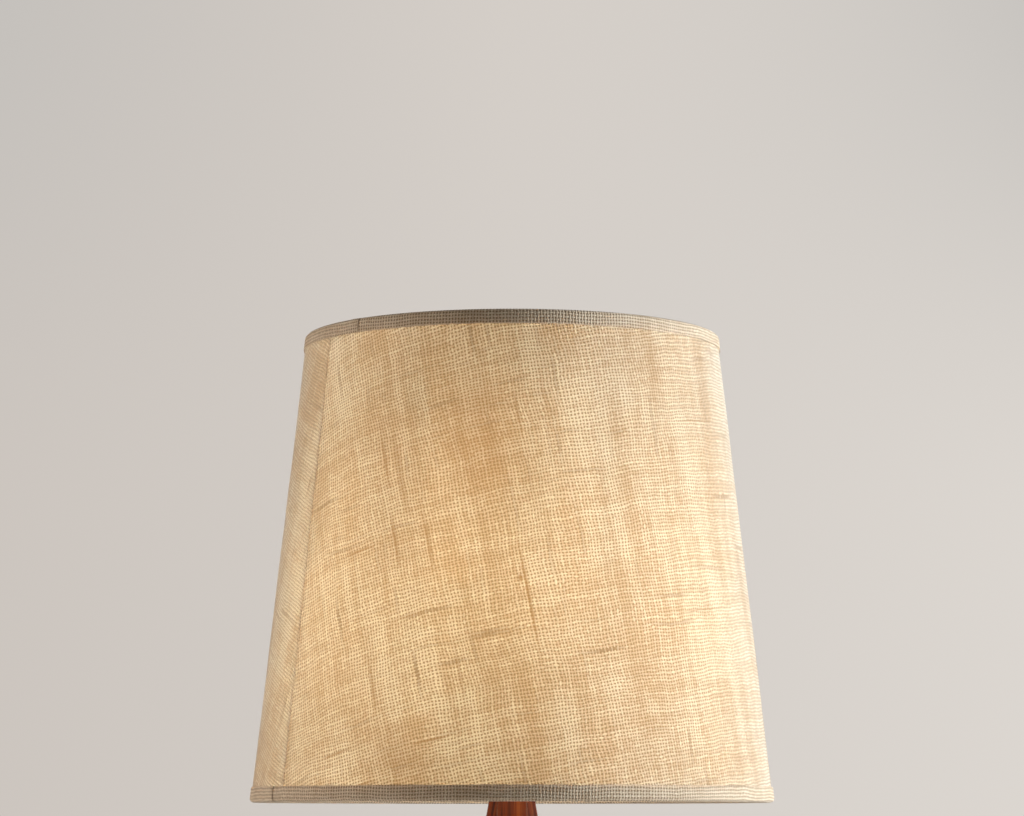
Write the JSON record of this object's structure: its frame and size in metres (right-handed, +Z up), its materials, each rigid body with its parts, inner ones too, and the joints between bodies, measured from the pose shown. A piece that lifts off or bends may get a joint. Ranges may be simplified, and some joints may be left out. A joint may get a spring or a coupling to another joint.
{
  "type": "tripod floor lamp",
  "caption": "Floor lamp on a tripod of mitred wooden legs, with a tapered drum shade in coarse linen held by a harp over a screw-base bulb.",
  "frame": {"origin": "on the floor under the middle of the tripod, on the shade's axis", "axes": "+Z up along the shade's axis, -Y towards the viewer, +X to the viewer's right"},
  "size_m": [0.4522, 0.4534, 1.4717],
  "materials": {
    "stained_wood": "dark red-brown stain under a satin lacquer, open grain",
    "linen": "coarse slubby plain weave, natural",
    "linen_trim": "folded band of the same cloth, glued",
    "shade_liner": "warm white styrene sheet",
    "plated_steel": "zinc plated wire and strip",
    "brass": "satin brass",
    "dark_metal": "black oxide",
    "contact_brass": "stamped contact metal",
    "rubber": "matt",
    "black_plastic": "moulded",
    "insulating_paper": "fibre tube",
    "white_plastic": "moulded",
    "led_board": "white solder mask",
    "opal_globe": "opal diffuser, frosted"
  },
  "bodies": {
    "stand": {"bolt_insert_back_left": "brass", "bolt_insert_back_right": "brass", "bolt_insert_front": "brass", "cord_bushing": "black_plastic", "foot_pad_back_left": "rubber", "foot_pad_back_right": "rubber", "foot_pad_front": "rubber", "foot_screw_back_left": "dark_metal", "foot_screw_back_right": "dark_metal", "foot_screw_front": "dark_metal", "harp_loop": "plated_steel", "harp_saddle": "plated_steel", "harp_stud": "plated_steel", "hub_block": "stained_wood", "lamp_pipe": "plated_steel", "leg_back_left": "stained_wood", "leg_back_right": "stained_wood", "leg_bolt_back_left": "dark_metal", "leg_bolt_back_right": "dark_metal", "leg_bolt_front": "dark_metal", "leg_front": "stained_wood", "lower_nut": "brass", "lower_washer": "plated_steel", "neck_spacer": "brass", "socket_body": "black_plastic", "socket_cap": "brass", "socket_contact": "contact_brass", "socket_insulator": "insulating_paper", "socket_screw_shell": "contact_brass", "socket_shell": "brass", "terminal_screw_brass": "contact_brass", "terminal_screw_silver": "brass", "top_cap": "brass"},
    "shade": {"ring_bottom": "plated_steel", "ring_top": "plated_steel", "shade_fabric": "linen", "shade_liner": "shade_liner", "spider_arm_back": "plated_steel", "spider_arm_left": "plated_steel", "spider_arm_right": "plated_steel", "spider_hub": "plated_steel", "trim_bottom": "linen_trim", "trim_top": "linen_trim"},
    "finial": {"finial": "brass"},
    "bulb": {"bulb_globe": "opal_globe", "bulb_housing": "white_plastic", "bulb_insulator": "black_plastic", "bulb_screw_base": "brass", "bulb_tip": "brass", "led_board": "led_board"},
    "switch": {"switch_stem": "brass", "switch_knob": "black_plastic"},
    "sleeve_left": {"harp_sleeve_left": "brass"},
    "sleeve_right": {"harp_sleeve_right": "brass"}
  },
  "joints": [
    {"name": "shade_turn", "type": "hinge", "parent": "stand", "child": "shade", "pos_m": [0, 0, 1.4438], "axis": [0, 0, 1], "continuous": true},
    {"name": "finial_turn", "type": "hinge", "parent": "stand", "child": "finial", "pos_m": [0, 0, 1.4457], "axis": [0, 0, 1], "continuous": true},
    {"name": "bulb_unscrew", "type": "hinge", "parent": "stand", "child": "bulb", "pos_m": [0, 0, 1.15], "axis": [0, 0, 1], "continuous": true},
    {"name": "switch_turn", "type": "hinge", "parent": "stand", "child": "switch", "pos_m": [0, 0, 1.1389], "axis": [0, -1, 0], "continuous": true},
    {"name": "sleeve_left_lift", "type": "slide", "parent": "stand", "child": "sleeve_left", "axis": [0, 0, 1], "range_m": [0, 0.013]},
    {"name": "sleeve_right_lift", "type": "slide", "parent": "stand", "child": "sleeve_right", "axis": [0, 0, 1], "range_m": [0, 0.013]}
  ]
}
